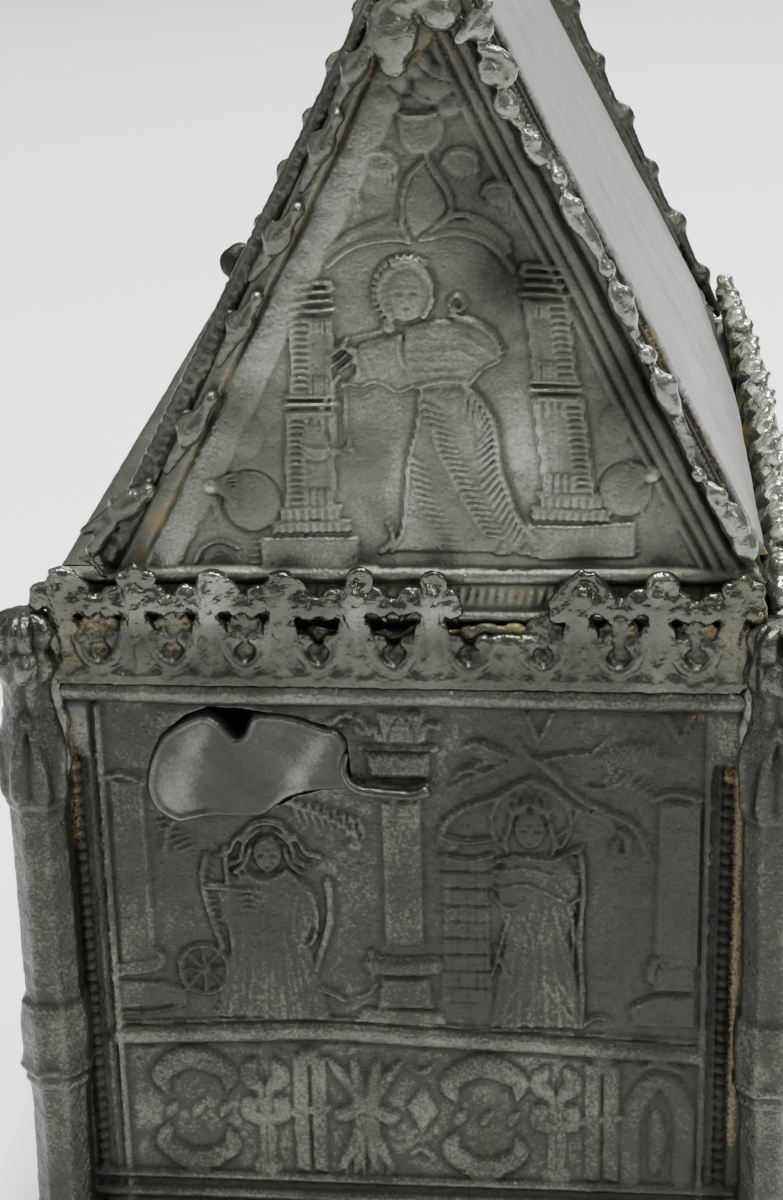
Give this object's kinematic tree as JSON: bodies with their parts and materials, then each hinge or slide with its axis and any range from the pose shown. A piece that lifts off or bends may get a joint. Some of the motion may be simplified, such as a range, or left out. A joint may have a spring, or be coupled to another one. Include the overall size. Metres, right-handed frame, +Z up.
{
  "type": "chrismatory",
  "caption": "Rectangular pewter casket for holy oils, with relief walls, corner buttresses, a pierced cresting and a steep gabled lift-off lid.",
  "frame": {"origin": "centre of the underside of the base plate", "axes": "+Z up, -Y out of the front wall below the front gable, +X to the right as seen from the front"},
  "size_m": [0.094, 0.143, 0.1664],
  "materials": {
    "pewter_cast": "cast pewter, tarnished grey-green, worn bright on its high points, with ochre dirt in its hollows",
    "pewter_sheet": "rolled pewter sheet, dull mid grey, with fine cracks and stains",
    "pewter_solder": "smooth run solder, soft grey sheen"
  },
  "bodies": {
    "root": {"base_plate": "pewter_cast", "front_wall": "pewter_cast", "right_wall": "pewter_cast", "back_wall": "pewter_cast", "left_wall": "pewter_cast", "repair_patch": "pewter_solder", "buttress_front_left": "pewter_cast", "buttress_front_right": "pewter_cast", "buttress_back_left": "pewter_cast", "buttress_back_right": "pewter_cast", "cresting_front": "pewter_cast", "cresting_right": "pewter_cast", "cresting_back": "pewter_cast", "cresting_left": "pewter_cast", "gable_front": "pewter_cast", "gable_back": "pewter_cast", "lid_moulding_left": "pewter_cast", "lid_moulding_right": "pewter_cast", "roof_left": "pewter_sheet", "roof_right": "pewter_sheet", "ridge": "pewter_sheet"}
  },
  "joints": []
}
